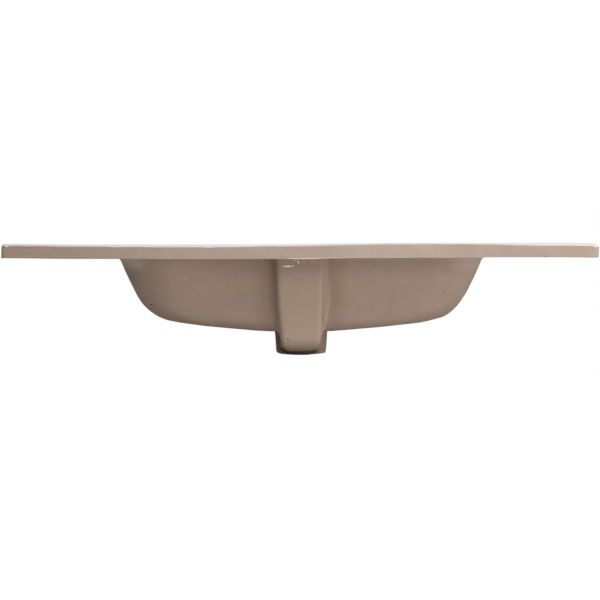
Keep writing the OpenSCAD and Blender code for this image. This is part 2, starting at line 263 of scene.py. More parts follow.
class Sheet:
    """Points and faces of one piece while it is built, in millimetres."""

    def __init__(self):
        self.points = []
        self.faces = []

    def ring(self, points):
        start = len(self.points)
        self.points.extend(tuple(p) for p in points)
        return list(range(start, len(self.points)))

    def band(self, a, b, closed=True):
        """Quads between two rows of the same length, facing out where b is below a."""
        n = len(a)
        for j in range(n if closed else n - 1):
            k = (j + 1) % n
            self.faces.append((a[j], b[j], b[k], a[k]))

    def loft(self, rows, closed=True, inward=False):
        """Quads through several rows of points. Returns the first and last row."""
        rings = [self.ring(row) for row in rows]
        for a, b in zip(rings, rings[1:]):
            self.band(*((b, a) if inward else (a, b)), closed)
        return rings[0], rings[-1]

    def flat(self, outer, holes, z, up):
        """Triangles on the level z between closed, convex rows, over a loose grid."""
        loops = [outer, *holes]
        border = [i for loop in loops for i in loop]
        shapes = [np.array([self.points[i][:2] for i in loop]) for loop in loops]

        def kept(points, margin=0):
            keep = inside(shapes[0], points) > margin
            for hole in shapes[1:]:
                keep &= inside(hole, points) < -margin
            return keep

        edges = []
        for loop in loops:
            start, n = len(edges), len(loop)
            edges += [(start + k, start + (k + 1) % n) for k in range(n)]
        low, high = shapes[0].min(0), shapes[0].max(0)
        xs, ys = (np.arange(low[axis], high[axis], GRID) + GRID / 2 for axis in (0, 1))
        grid = np.array([(x, y) for x in xs for y in ys])
        grid = grid[kept(grid, 0.6 * GRID)]
        flat_points = [Vector(self.points[i][:2]) for i in border] + [Vector(p) for p in grid]
        points, _, faces, origin, _, _ = delaunay_2d_cdt(flat_points, edges, [], 0, 1e-4)
        index = []
        for p, sources in zip(points, origin):
            if sources and sources[0] < len(border):
                index.append(border[sources[0]])
            else:
                index.extend(self.ring([(p.x, p.y, z)]))
        middles = np.array([sum((points[i] for i in f), Vector((0, 0))) / 3 for f in faces])
        for f, keep in zip(faces, kept(middles)):
            if keep:
                f = [index[i] for i in f]
                self.faces.append(tuple(f if up else reversed(f)))


def inside(shape, points):
    """Distance of each point inside a convex outline, negative outside."""
    edge = np.roll(shape, -1, 0) - shape
    length = np.linalg.norm(edge, axis=1)
    real = length > 1e-6
    shape, edge = shape[real], edge[real]
    normal = np.stack([-edge[:, 1], edge[:, 0]], 1) / length[real][:, None]
    x, y = shape.T
    if np.sum(x * np.roll(y, -1) - np.roll(x, -1) * y) < 0:
        normal = -normal
    nearest = np.full(len(points), np.inf)
    for corner, n in zip(shape, normal):
        nearest = np.minimum(nearest, (points - corner) @ n)
    return nearest


def new_object(name, data):
    obj = bpy.data.objects.new(name, data)
    bpy.context.scene.collection.objects.link(obj)
    return obj


def mesh_object(name, points, faces):
    """Mesh object of points in millimetres."""
    mesh = bpy.data.meshes.new(name)
    mesh.from_pydata([Vector(p) * MM for p in points], [], faces)
    return new_object(name, mesh)


def make(name, sheet, material, nodes=(), thickness=0, warp=True):
    """Piece of the part, made of a sheet."""
    points = [warped(p) for p in sheet.points] if warp else sheet.points
    obj = mesh_object(name, points, sheet.faces)
    mesh = obj.data
    mesh.validate()
    mesh.update()
    if thickness:
        obj.modifiers.new("thickness", "SOLIDIFY").thickness = thickness * MM
    else:
        face_out(mesh)
    mesh.materials.append(material)
    settle(obj)
    if nodes:
        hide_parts(*nodes)
    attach(obj, "root")
    return obj


def face_out(mesh):
    """Turns the faces of a closed mesh outwards."""
    shape = bmesh.new()
    shape.from_mesh(mesh)
    bmesh.ops.recalc_face_normals(shape, faces=shape.faces)
    shape.to_mesh(mesh)
    shape.free()


def settle(obj):
    """Applies the object's modifiers and shades it smooth, apart from its sharp edges."""
    bpy.context.view_layer.update()
    shaped = obj.evaluated_get(bpy.context.evaluated_depsgraph_get())
    mesh = bpy.data.meshes.new_from_object(shaped)
    obj.modifiers.clear()
    obj.data = mesh
    mesh.name = obj.name
    mesh.shade_smooth()
    mesh.set_sharp_from_angle(angle=SHARP_ANGLE)


def cut(obj, sheet, place=Matrix.Identity(4)):
    """Cuts the closed sheet out of the object."""
    cutter = mesh_object("cutter", sheet.points, sheet.faces)
    cutter.matrix_world = place
    face_out(cutter.data)
    obj.modifiers.new("cut", "BOOLEAN").object = cutter
    settle(obj)
    bpy.data.meshes.remove(cutter.data)


def turned(profile, steps=ROUND_STEPS, middle=(0, 0)):
    """Solid turned about an upright line through middle, from a closed profile of (r, z)."""
    sheet = Sheet()
    turns = (2 * pi * k / steps for k in range(steps))
    first, last = sheet.loft([[(*around(middle, r, a), z) for r, z in profile] for a in turns])
    sheet.band(last, first)
    return sheet


# Shapes of the bowl, which repeat the part's own formulas with closer steps.

def wall_point(w, z, d):
    return (w[0] - d / cos(w[1]) + z * tan(w[1]), z)


def bend_centre(w, d):
    lean, fall, r = w[1], w[2], w[3] - d
    z0 = FLOOR_Z + d - SEAT_R * tan(fall)
    s = (w[0] - d / cos(lean) + z0 * tan(lean)) / (1 - tan(fall) * tan(lean))
    reach = r * tan((pi / 2 - lean - fall) / 2)
    return (s + reach * sin(lean) - r * cos(lean),
            z0 + s * tan(fall) + reach * cos(lean) + r * sin(lean))


def profile(w, d, top):
    """Points of a face from height top down the wall and round the bend."""
    r = w[3] - d
    c = bend_centre(w, d)
    turn = pi / 2 - w[1] - w[2]
    head = wall_point(w, top, d)
    foot = around(c, r, -w[1])
    wall = [between(head, foot, f) for f in shares(WALL_STEPS)[:-1]]
    return wall + [around(c, r, -w[1] - turn * f) for f in shares(BEND_STEPS)]


def rounded(a, b, r):
    """Points of a rounded rectangle with half sides a and b, from the middle of an end."""
    quarter = [(a, (b - r) * i / SHORT_STEPS) for i in range(SHORT_STEPS)]
    quarter += arc((a - r, b - r), r, 0, 90, CORNER_STEPS)
    quarter += [((a - r) * (1 - i / LONG_STEPS), b) for i in range(1, LONG_STEPS)]
    half = quarter + [(0, b)] + [(-x, y) for x, y in reversed(quarter[1:])]
    return half + [(-x, -y) for x, y in half]


def bowl_ring(p, r):
    """Ring round the bowl through one point of each wall's profile."""
    a = p[0][0]
    b = (p[1][0] + p[2][0]) / 2
    y0 = DRAIN_Y + (p[1][0] - p[2][0]) / 2
    ring = []
    for x, y in rounded(a, b, r):
        f = (abs(x) - SEAT_R) / (a - SEAT_R)
        f = (f + hypot(f, RAMP)) / (1 + hypot(1, RAMP))
        side = mix(p[2][1], p[1][1], ease(0.5 + y / 60))
        ring.append((x, y0 + y, mix(side, p[0][1], f)))
    return ring


def level_ring(z, d, grow=0):
    return bowl_ring([(q[0] + grow, q[1]) for q in (wall_point(w, z, d) for w in WALLS)], CORNER_R - d + grow)


def face_rings(d, top):
    """Rings of the face d inside the bowl's outer face: walls, bends and floor down to the flat."""
    sides = [profile(w, d, top) for w in WALLS]
    down = [WALL_SHARE * f for f in shares(WALL_STEPS)]
    down += [mix(WALL_SHARE, 1, f) for f in shares(BEND_STEPS, 1)]
    rings = [bowl_ring(points, CORNER_R * (1 - CORNER_SHRINK * f) - d) for f, *points in zip(down, *sides)]
    edge = rings[-1]
    seat = drain_ring(SEAT_R, FLOOR_Z + d)
    return rings + [[between(p, q, f) for p, q in zip(edge, seat)] for f in shares(FLOOR_STEPS, 1)]


def drain_ring(r, z):
    """Level circle round the drain, each point in the direction of its column of the floor."""
    sides = [profile(w, WALL_T, 0)[-1] for w in WALLS]
    ring = bowl_ring(sides, CORNER_R * (1 - CORNER_SHRINK) - WALL_T)
    circle = []
    for x, y, _ in ring:
        reach = hypot(x, y - DRAIN_Y)
        circle.append((r * x / reach, DRAIN_Y + r * (y - DRAIN_Y) / reach, z))
    return circle


def rim_rings(d):
    """Rings of the rolled edge between the deck's top and the bowl, d inside the outer face."""
    r = RIM_R - WALL_T + d
    rings = []
    for f in shares(EDGE_STEPS):
        p = []
        for w in WALLS:
            s, z = wall_point(w, DECK_T - RIM_R, WALL_T)
            a = mix(pi / 2, pi - w[1], f)
            p.append((s + RIM_R / cos(w[1]) + r * cos(a), z + r * sin(a)))
        rings.append(bowl_ring(p, CORNER_R - d + r * (1 - sin(pi / 2 * f))))
    return rings


def deck_outline(shrink, inset=0):
    """Outline of the deck, moved in by both, with its corners' radius made smaller by shrink."""
    r = DECK_CORNER_R - shrink
    x = DECK_W / 2 - inset - shrink
    y = DECK_D / 2 - inset - shrink
    middles = ((x - r, y - r), (r - x, y - r), (r - x, r - y), (x - r, r - y))
    side_ends = ((r - x, y), (-x, r - y), (x - r, -y), (x, y - r))
    points = []
    for k, (middle, side_end) in enumerate(zip(middles, side_ends)):
        points += arc(middle, r, 90 * k, 90 * k + 90, DECK_CORNER_STEPS)
        side_start = Vector(points[-1])
        steps = (BACK_STEPS, SIDE_STEPS)[k % 2]
        points += [tuple(side_start.lerp(Vector(side_end), i / steps)) for i in range(1, steps)]
    return points


def glaze_depth(x, y):
    """How far below the top the glaze ends, at a point of the deck's outline."""
    sides = DECK_T - GLAZE_FOOT + 0.4 * wobble(x * 0.02, y * 0.02, 3.1)
    back = along(GLAZE_LINE, x) + 0.35 * wobble(x * 0.035, 0, 7.7) + 0.22 * wobble(x * 0.16, 0, 1.3)
    for drip_x, drip_w, drip_h in DRIPS:
        back += drip_h * exp(-((x - drip_x) / drip_w) ** 2)
    sweep_end = DECK_D / 2 - DECK_CORNER_R
    return mix(sides, back, ramp(y, sweep_end - GLAZE_SWEEP, sweep_end))


def coat_sides():
    """Rings of the glaze over the deck's upper edge, down its sides and round the coat's own lip."""
    outline = deck_outline(0)
    rim = deck_outline(TOP_EDGE_R)
    depths = [glaze_depth(x, y) for x, y in outline]
    steps = [(0, f, 0) for f in shares(COAT_STEPS)]
    steps += [(LIP_REACH * f, 1, LIP_DEPTH * (1 - sqrt(1 - f * f * 0.96))) for f in shares(LIP_STEPS, 1)]
    return [[edge_point(outer, inner, depth + reach, f, sunk)
             for outer, inner, depth in zip(outline, rim, depths)] for reach, f, sunk in steps]


def edge_point(outer, inner, depth, f, sunk):
    """Point on the rounded edge and side of the deck, a share f of the way to depth below the top."""
    r = TOP_EDGE_R
    arc_length = r * pi / 2
    length = r * acos(1 - depth / r) if depth < r else arc_length + depth - r
    s = length * f
    if s < arc_length:
        out = (r - sunk) * sin(s / r) / r
        z = DECK_T - r + (r - sunk) * cos(s / r)
    else:
        out = 1 - sunk / r
        z = DECK_T - r - (s - arc_length)
    return (*between(inner, outer, out), z)


def at_level(points, z):
    return [(p[0], p[1], z) for p in points]


def tap_ring(r, z):
    return [(*around((0, TAP_Y), r, 2 * pi * k / TAP_STEPS), z) for k in range(TAP_STEPS)]


def build_coat():
    """The white glaze as one skin: deck, rolled edge, basin, recess and tap hole."""
    sheet = Sheet()
    outer_guard, _ = sheet.loft([at_level(deck_outline(TOP_EDGE_R + GUARD), DECK_T)] + coat_sides())
    rim = rim_rings(WALL_T)
    rings = [grown(rim[0], GUARD)] + rim + [level_ring(z, WALL_T) for z in (10, 5)]
    rings += face_rings(WALL_T, 0)
    rings += [drain_ring(r, z) for r, z in recess_profile()]
    inner_guard, _ = sheet.loft(rings, inward=True)
    r = TAP_D / 2
    lip = r + TAP_LIP_R
    tap = [(lip + GUARD, DECK_T)] + arc((lip, DECK_T - TAP_LIP_R), TAP_LIP_R, 90, 180, 6)
    tap += [(r, DECK_T - 6), (r + 0.35, DECK_T - 7)]
    tap_guard, _ = sheet.loft([tap_ring(*p) for p in tap], inward=True)
    sheet.flat(outer_guard, [inner_guard, tap_guard], DECK_T, up=True)
    return sheet


def grown(ring, by):
    """A closed ring of points moved out level by a distance."""
    moved = []
    for before, (x, y, z), after in zip(ring[-1:] + ring, ring, ring[1:] + ring[:1]):
        tangent = Vector((after[0] - before[0], after[1] - before[1])).normalized()
        moved.append((x + by * tangent.y, y - by * tangent.x, z))
    return moved


def recess_profile():
    """Radius and height from the flat round the drain into the recess and the hole."""
    r = RECESS_D / 2
    e = RECESS_EDGE_R
    floor_z = FLOOR_Z + WALL_T
    low = floor_z - RECESS_H
    hole = DRAIN_D / 2
    points = [(r + e + GUARD, floor_z)]
    points += arc((r + e, floor_z - e), e, 90, 180, 5)
    points += arc((r - e, low + e), e, 0, -90, 5)[1:]
    points += [(r - e - GUARD, low), (hole + e + GUARD, low)]
    points += arc((hole + e, low - e), e, 90, 180, 5)
    points += [(hole, low - e - 1.5), (hole + 0.3, low - e - 2.2)]
    return points


def build_deck():
    """The clay of the deck, closed, with the opening, and hidden under the glaze above."""
    sheet = Sheet()
    top = DECK_T - CLAY_GAP
    inner_r = TOP_EDGE_R - CLAY_GAP
    sides = arc((TOP_EDGE_R, DECK_T - TOP_EDGE_R), inner_r, 90, 180, EDGE_STEPS)
    sides += [(CLAY_GAP, z) for z in (14, 8, 4)]
    sides += arc((CLAY_GAP + BOTTOM_EDGE_R, BOTTOM_EDGE_R), BOTTOM_EDGE_R, 180, 270, 4)
    rows = [at_level(deck_outline(shrink), z) for shrink, z in sides]
    flat_edge = CLAY_GAP + BOTTOM_EDGE_R + GUARD
    rows += [at_level(deck_outline(flat_edge, inset), 0) for inset in (0, 3.5, 7)]
    upper, lower = sheet.loft(rows)
    d = WALL_T - CLAY_GAP
    mouth = rim_rings(d) + [level_ring(z, d) for z in (10, 5, 0)]
    inner_top, inner_low = sheet.loft(mouth, inward=True)
    r = TAP_D / 2 + CLAY_GAP
    tap = ((r + TAP_LIP_R, top), (r + 0.7, top - TAP_LIP_R), (r, top - 5), (r, 1.2), (r + 0.4, 0.3),
           (r + 1.2, 0), (r + 1.2 + GUARD, 0))
    tap_top, tap_low = sheet.loft([tap_ring(*p) for p in tap], inward=True)
    sheet.flat(upper, [inner_top, tap_top], top, up=True)
    sheet.flat(lower, [inner_low, tap_low], 0, up=False)
    return sheet


def build_bowl():
    """The clay of the bowl: its outside with the fillet under the deck, and its hidden inside."""
    sheet = Sheet()
    brim = level_ring(0, 0, ROOT_R + GUARD)
    rows = [at_level(brim, 0.01)]
    for f in shares(EDGE_STEPS)[:-1]:
        rows.append(level_ring(-ROOT_R * f, 0, ROOT_R * (1 - sqrt(1 - (1 - f) ** 2))))
    rows += face_rings(0, -ROOT_R) + [drain_ring(FLOOR_HOLE_R, FLOOR_Z)]
    d = WALL_T - CLAY_GAP
    inner_rows = [at_level(brim, 2)] + face_rings(d, 2)
    inner_rows.append(drain_ring(FLOOR_HOLE_R, FLOOR_Z + d))
    head, foot = sheet.loft(rows)
    inner_head, inner_foot = sheet.loft(inner_rows, inward=True)
    sheet.band(inner_head, head)
    sheet.band(foot, inner_foot)
    return sheet


def boss_profile():
    """Closed profile of the drain boss, from the foot of its hole up the inside."""
    b = DRAIN_D / 2
    h = CHAMBER_D / 2
    r = BOSS_FOOT_D / 2 - BOSS_EDGE_R
    seat = FLOOR_Z + WALL_T - RECESS_H - CLAY_GAP
    points = [(b + 0.8, BOSS_FOOT_Z), (b, BOSS_FOOT_Z + 0.8), (b, CHAMBER_LOW_Z - 1), (b + 1, CHAMBER_LOW_Z)]
    points += [(h, CHAMBER_LOW_Z), (h, CHAMBER_HIGH_Z), (b + 1, CHAMBER_HIGH_Z)]
    points += [(b + 0.3, CHAMBER_HIGH_Z + 1), (b + 0.3, seat - 3), (b + 2.5, seat), (b + 9, seat)]
    points += [(FLOOR_HOLE_R, seat), (FLOOR_HOLE_R, FLOOR_Z + 1)]
    points += [(SEAT_R + 1.5, FLOOR_Z + 1), (SEAT_R + 1.5, FLOOR_Z + 0.02)]
    fillet = arc((BOSS_TOP_D / 2 + BOSS_ROOT_R, FLOOR_Z - BOSS_ROOT_R), BOSS_ROOT_R, 90, 177, 8)
    foot = arc((r, BOSS_FOOT_Z + BOSS_EDGE_R), BOSS_EDGE_R, 0, -90, 8)
    points += fillet + [between(fillet[-1], foot[0], f) for f in shares(6, 1)[:-1]] + foot
    points += [(r - GUARD, BOSS_FOOT_Z), (b + 4, BOSS_FOOT_Z)]
    return points


def build_channel():
    """The overflow channel's outer skin, which blends into the bowl, the deck and the boss."""
    sheet = Sheet()
    rows = []
    for inner, outer, station, end_share in channel_stations():
        depth = dist(inner, outer)
        direction = ((outer[0] - inner[0]) / depth, (outer[1] - inner[1]) / depth)
        down = min(1, -outer[1] / FACE_HEIGHT)
        low = max(0, FOOT_CORNER_R - (outer[1] - CHANNEL_FOOT_Z))
        trimmed = FOOT_CORNER_R - sqrt(FOOT_CORNER_R ** 2 - low ** 2)
        trimmed *= 1 - 0.7 * ease((end_share - 0.5) / 0.3)
        near_deck = max(0, 1 + min(0, outer[1]) / CHANNEL_FLARE_R)
        flare = CHANNEL_FLARE_R * (1 - sqrt(1 - near_deck ** 2))
        skew = FOOT_SKEW * ease(down)
        halves = []
        for foot_half, root_half, fillet, seed in CHANNEL_SIDES:
            uneven = HAND_FINISH * wobble(station * 9, seed, 0.5)
            half = mix(FACE_TOP_HALF, foot_half, down) + uneven - trimmed
            halves.append(flank(half, along(root_half, station), depth, along(fillet, station), flare))
        shape = [(-x, h) for x, h in reversed(halves[0][1:])] + halves[1]
        row = []
        for x, h in shape:
            s, z = inner[0] + direction[0] * h, inner[1] + direction[1] * h
            beside = min(abs(x), CHANNEL_END_R - 2)
            s -= end_share * (CHANNEL_END_R - sqrt(CHANNEL_END_R ** 2 - beside ** 2))
            row.append((x + skew * h / depth, DRAIN_Y + s, z))
        rows.append(row)
    sheet.loft(rows, closed=False, inward=True)
    return sheet


def flank(half, root_half, depth, root_r, flare):
    """Half the channel's section, from the middle of its face to its root, as (x, height)."""
    edge_r = CHANNEL_EDGE_R
    turn = pi / 2
    for _ in range(4):
        corner = root_half - root_r * tan(turn / 2)
        turn = pi / 2 - atan((corner - half) / depth)
    corner = root_half - root_r * tan(turn / 2)
    reach = edge_r * tan(turn / 2)
    grow_at = edge_r + flare
    shrunk = max(root_r - flare, 0.5)
    turns = [turn * f for f in shares(8)]
    edge = [(half - reach + grow_at * sin(a), depth - edge_r + grow_at * cos(a)) for a in turns]
    root = [(root_half - shrunk * sin(a), root_r - shrunk * cos(a)) for a in reversed(turns)]
    straight = [between(edge[-1], root[0], f) for f in shares(4, 1)[:-1]]
    face = [((half - reach) * i / 7, depth + flare) for i in range(7)]
    skirt = [(root[-1][0] + 2, root[-1][1] - 0.15), (root[-1][0] + 5, root[-1][1] - 1.2)]
    return face + edge + straight + root + skirt


def channel_stations():
    """Points on the bowl's outside and on the channel's face, with the share of the whole way down and
    the share of the way from the bend to the boss."""
    wall = profile(BACK_WALL, 0, 1)
    lean = atan(FACE_IN / FACE_HEIGHT)
    top_s = FACE_TOP_Y - DRAIN_Y
    r = CHANNEL_FOOT_R

    def face(z):
        return (top_s + z * tan(lean), z)

    arc_z = CHANNEL_FOOT_Z + r - r * sin(lean)
    arc_start = face(arc_z)
    centre = (arc_start[0] - r * cos(lean), arc_z + r * sin(lean))
    near = (1, 0, -0.25, -0.7, -1.3, -2, -3, -4)
    pairs = [(wall_point(BACK_WALL, z, 0), face(z), 0) for z in near]
    for f in shares(DOWN_STEPS, 1):
        z = mix(near[-1], wall[WALL_STEPS][1], f)
        pairs.append((wall_point(BACK_WALL, z, 0), face(mix(near[-1], FACE_BEND_Z, f)), 0))
    for i in range(1, BEND_STEPS + 1):
        pairs.append((wall[WALL_STEPS + i], face(mix(FACE_BEND_Z, arc_z, i / BEND_STEPS)), 0))
    edge = wall[-1]
    for f in shares(UNDER_STEPS, 1):
        if f <= 0.5:
            outer = around(centre, r, -lean - (pi / 2 - lean) * f / 0.5)
        else:
            outer = (mix(centre[0], CHANNEL_END_R, (f - 0.5) / 0.5), centre[1] - r)
        pairs.append((between(edge, (CHANNEL_END_R, FLOOR_Z), f), outer, f))
    count = len(pairs) - 1
    return [(inner, outer, i / count, f) for i, (inner, outer, f) in enumerate(pairs)]


# Materials

class Nodes:
    """The nodes of one material or world. Axes are ways to measure a place on the part, in metres."""

    def __init__(self, owner):
        owner.use_nodes = True
        self.owner = owner
        self.tree = owner.node_tree
        self.axes = {}

    def plug(self, socket, value):
        """Sets a socket to a number or a colour, or links another socket to it."""
        if isinstance(value, bpy.types.NodeSocket):
            self.tree.links.new(value, socket)
        else:
            socket.default_value = value

    def add(self, kind, inputs=None, **settings):
        """Adds a node and returns its outputs."""
        node = self.tree.nodes.new(kind)
        for key, value in settings.items():
            setattr(node, key, value)
        for key, value in (inputs or {}).items():
            self.plug(node.inputs[key], value)
        return node.outputs

    def math(self, operation, a, b=0):
        return self.add("ShaderNodeMath", {0: a, 1: b}, operation=operation)[0]

    def times(self, first, *others):
        for other in others:
            first = self.math("MULTIPLY", first, other)
        return first

    def vector(self, operation, a, b=(0, 0, 0)):
        return self.add("ShaderNodeVectorMath", {0: a, 1: b}, operation=operation)

    def place(self, stretch=(1, 1, 1)):
        """The part's own coordinates, stretched."""
        here = self.add("ShaderNodeTexCoord")["Object"]
        return self.vector("MULTIPLY", here, stretch)[0]

    def level_distance(self, where):
        level = self.vector("MULTIPLY", where, (1, 1, 0))[0]
        return self.vector("LENGTH", level)["Value"]

    def grain(self, where, scale, detail=3, rough=0.55):
        return self.add("ShaderNodeTexNoise", {"Vector": where, "Scale": scale, "Detail": detail,
                                               "Roughness": rough, "Lacunarity": 2.1})["Fac"]

    def span(self, value, low, high, to_low=0, to_high=1):
        """Goes smoothly from to_low to to_high while the value goes from low to high."""
        return self.add("ShaderNodeMapRange", {"Value": value, "From Min": low, "From Max": high,
                                               "To Min": to_low, "To Max": to_high},
                        interpolation_type="SMOOTHSTEP")["Result"]

    def patches(self, where, scale, detail, *limits):
        return self.span(self.grain(where, scale, detail), *limits)

    def tint(self, share, under, over):
        return self.add("ShaderNodeMix", {"Factor": share, 6: under, 7: over}, data_type="RGBA")[2]

    def choose(self, share, a, b):
        return self.add("ShaderNodeMixShader", {0: share, 1: a, 2: b})[0]

    def measure(self, where):
        x, y, z = self.add("ShaderNodeSeparateXYZ", {0: where})
        self.axes = {"x": x, "y": y, "z": z, "beside": self.math("ABSOLUTE", x)}

    def within(self, *limits):
        """The product of some limits. A limit is an axis, where it starts and where it is full, in
        millimetres, and it may end with its shares at both."""
        return self.times(*(self.span(self.axes[axis], start * MM, full * MM, *shares)
                            for axis, start, full, *shares in limits))

    def shade(self, colour, tone, share, *limits):
        """The colour with a share of the tone over it within the limits."""
        return self.tint(self.times(self.within(*limits), share), colour, tone)

    def spot(self, where, x, z, half_w, half_h):
        """1 inside a ragged spot on the wall side of the part, at x and z in millimetres."""
        away = self.vector("SUBTRACT", where, (x * MM, 0, z * MM))[0]
        away = self.vector("MULTIPLY", away, (1 / (half_w * MM), 0, 1 / (half_h * MM)))[0]
        reach = self.vector("LENGTH", away)["Value"]
        ragged = self.math("ADD", reach, self.patches(where, 900, 2, 0, 1, -0.35, 0.35))
        return self.span(ragged, 1.25, 0.7)

    def surface(self, colour, rough, height, strength, distance, more):
        """Gives the shader its colour, roughness, bump and more, and returns the material."""
        bump = self.add("ShaderNodeBump", {"Height": height, "Strength": strength, "Distance": distance})
        inputs = {"Base Color": colour, "Roughness": rough, "Normal": bump[0], **more}
        for name, value in inputs.items():
            self.plug(self.tree.nodes["Principled BSDF"].inputs[name], value)
        return self.owner


def srgb(*levels):
    """Linear colour of an 8-bit screen colour that isn't nearly black."""
    return (*(((level / 255 + 0.055) / 1.055) ** 2.4 for level in levels), 1)


BOWL_TONE = srgb(180, 159, 140)
BOWL_TONE_PINK = srgb(184, 159, 144)
# The back edge is paler than the bowl's clay, partly as painted light; its dark and pale tones are painted
# shade and painted light
EDGE_TONE = srgb(192, 173, 156)
EDGE_TONE_PINK = srgb(194, 172, 160)
EDGE_SHADE_TONE = srgb(164, 144, 128)
EDGE_LIGHT_TONE = srgb(199, 181, 166)
# Painted light on the bowl and the channel
PAINTED_LIGHT_TONE = srgb(202, 178, 160)
# Painted shade on the boss, the wall and the channel's face, and the tone of a faint seam
SHADE_AND_SEAM_TONE = srgb(116, 94, 76)
# Painted shadow at the foot of the boss and of the channel's face
FOOT_SHADOW_TONE = srgb(56, 38, 25)
# Painted highlight on the deck's lower back arris, and painted light at the heads of the bowl's ends
PAINTED_BRIGHT_TONE = srgb(250, 234, 218)
CLOUD_TONE = srgb(166, 145, 127)
WIPE_TONE = srgb(200, 180, 162)
GRAIN_TONE = srgb(146, 125, 107)
PIT_TONE = srgb(70, 50, 36)
THIN_GLAZE = srgb(230, 221, 221)
THIN_GLAZE_PALE = srgb(235, 228, 229)
GLAZE_TONE = srgb(240, 237, 233)
GLAZE_TONE_COOL = srgb(236, 234, 232)
SPLASH_TONE = srgb(253, 245, 236)
PINHOLE_TONE = srgb(190, 176, 160)

# Pits and iron spots on the wall side: x, z, half width and half height.
DECK_PITS = ((27, 1.7, 1.1, 0.6), (-9.5, 3.3, 0.8, 0.5), (-310, 4.8, 1.2, 0.6), (-373.5, 1.6, 1.4, 0.6),
             (-415.9, 9.2, 2.4, 0.28), (411.5, 14.8, 1.3, 0.35))
BOWL_PITS = ((243, -78, 2.6, 1), (-231.7, -55.2, 1, 1.2), (128.3, -27.2, 1, 0.9),
             (102.1, -27.2, 1.1, 0.9), (23.7, -102.6, 0.6, 0.6), (19.7, -132.4, 1.4, 1.2),
             (-36.6, -97.5, 0.5, 2.4))

# Painted shade and painted light on the bowl, the channel and the boss, and a faint seam: tone, share and
# limits.
BEHIND = ("y", 50, 80)
UNDER_DECK = ("y", 123, 119)
AT_DRAIN = ("reach", 58, 46)
ON_FACE = ("off_face", -3, -1)
BESIDE_CHANNEL = (("beside", 85, 52), BEHIND, ("z", 0, -2), UNDER_DECK)
BOWL_SHADES = (
    # Painted shade: the boss is darker towards +X, and darkest in a painted shadow strip along its foot.
    (SHADE_AND_SEAM_TONE, 1, AT_DRAIN, ("z", -119, -127), ("x", -20, 36, 0.5, 0.88)),
    (FOOT_SHADOW_TONE, 0.9, AT_DRAIN, ("z", -164.4, -163.2), ("z", -152.3, -153.5), ("y", 0, 12), ("x", -36, -22)),
    # Painted shade on the wall on both sides of the channel, and again in its root at -X.
    (SHADE_AND_SEAM_TONE, 0.27, ("x", 40, 48), *BESIDE_CHANNEL),
    (SHADE_AND_SEAM_TONE, 0.27, ("root", -47.5, -50), *BESIDE_CHANNEL),
    (SHADE_AND_SEAM_TONE, 0.35, ("root", -50.5, -49), ("root", -43.5, -45), ("z", -80, -20), ("y", 76, 80), UNDER_DECK),
    # A pale line of painted light runs along the joint under the deck.
    (PAINTED_LIGHT_TONE, 0.4, ("z", -7.5, -4.5), ("z", 2.7, -0.3), ("beside", 50, 60), UNDER_DECK),
    # The channel's face has painted shade at its head, under the deck, and painted light below.
    (SHADE_AND_SEAM_TONE, 0.14, ON_FACE, ("z", -45, -15), ("z", -5, -14)),
    (PAINTED_LIGHT_TONE, 0.28, ON_FACE, ("z", -20, -60)),
    # The wall has painted light under the deck at +X, and painted shade where it turns under.
    (PAINTED_LIGHT_TONE, 0.3, ("z", -40, -12), ("x", 100, 200), UNDER_DECK, BEHIND),
    (SHADE_AND_SEAM_TONE, 1, ("z", -98, -116), BEHIND, ("beside", 60, 90), ("x", -100, 100, 0.12, 0.24)),
    # The ends have painted light, most of all at their heads.
    (PAINTED_LIGHT_TONE, 0.3, ("x", -230, -280), ("z", -85, -60), UNDER_DECK, ("z", -6, -20)),
    (PAINTED_BRIGHT_TONE, 1, ("beside", 235, 275), ("z", -28, -10), ("x", -200, 200, 0.22, 0.42), UNDER_DECK),
    # A faint seam runs down the face, and the face has painted shade at its foot.
    (SHADE_AND_SEAM_TONE, 0.22, ("x", -37.6, -36.9), ("x", -35.6, -36.3), ("z", -107, -97), ("z", -2, -12),
     ("y", 90, 100)),
    (FOOT_SHADOW_TONE, 0.56, ("z", -127, -152), ("y", 60, 90)))


def bowl_shades(nodes, flat, colour):
    """Painted shade and painted light on the bowl, the channel and the drain boss, and a faint seam."""
    axes = nodes.axes
    from_drain = nodes.vector("SUBTRACT", flat, (0, DRAIN_Y * MM, 0))[0]
    axes["reach"] = nodes.level_distance(from_drain)
    axes["root"] = nodes.math("SUBTRACT", axes["x"], nodes.within(("z", -65, -112, 0, 0.0065)))
    lean = nodes.times(axes["z"], FACE_IN / FACE_HEIGHT)
    face_y = nodes.math("ADD", lean, FACE_TOP_Y * MM)
    axes["off_face"] = nodes.math("SUBTRACT", axes["y"], face_y)
    for tone, share, *limits in BOWL_SHADES:
        colour = nodes.shade(colour, tone, share, *limits)
    return colour


def back_edge(nodes, cast, clay):
    """The deck's back edge: paler than the clay elsewhere, partly as painted light, and with painted shade
    towards +X.
    """
    edge = nodes.tint(cast, EDGE_TONE, EDGE_TONE_PINK)
    edge = nodes.shade(edge, EDGE_SHADE_TONE, 0.68, ("x", 100, 430))
    # A band of painted light towards -X
    edge = nodes.shade(edge, EDGE_LIGHT_TONE, 1, ("x", -250, -190), ("x", -40, -100))
    return nodes.tint(nodes.within(("y", 230.8, 232.2)), clay, edge)


def arris_highlight(nodes, colour):
    """A painted highlight along the deck's lower back arris, and a fainter one beside it towards -X."""
    highlight = nodes.within(("x", -38, -26), ("x", 23, 11), ("z", -4.3, -3.8), ("z", -1.3, -1.8))
    faint_highlight = nodes.within(("x", -180, -150), ("x", 0, -30), ("z", -3.5, -3), ("z", -0.1, -0.6))
    highlight = nodes.math("MAXIMUM", highlight, nodes.times(faint_highlight, 0.35))
    return nodes.tint(nodes.times(highlight, nodes.within(("y", 229, 231, 0, 0.95))), colour, PAINTED_BRIGHT_TONE)


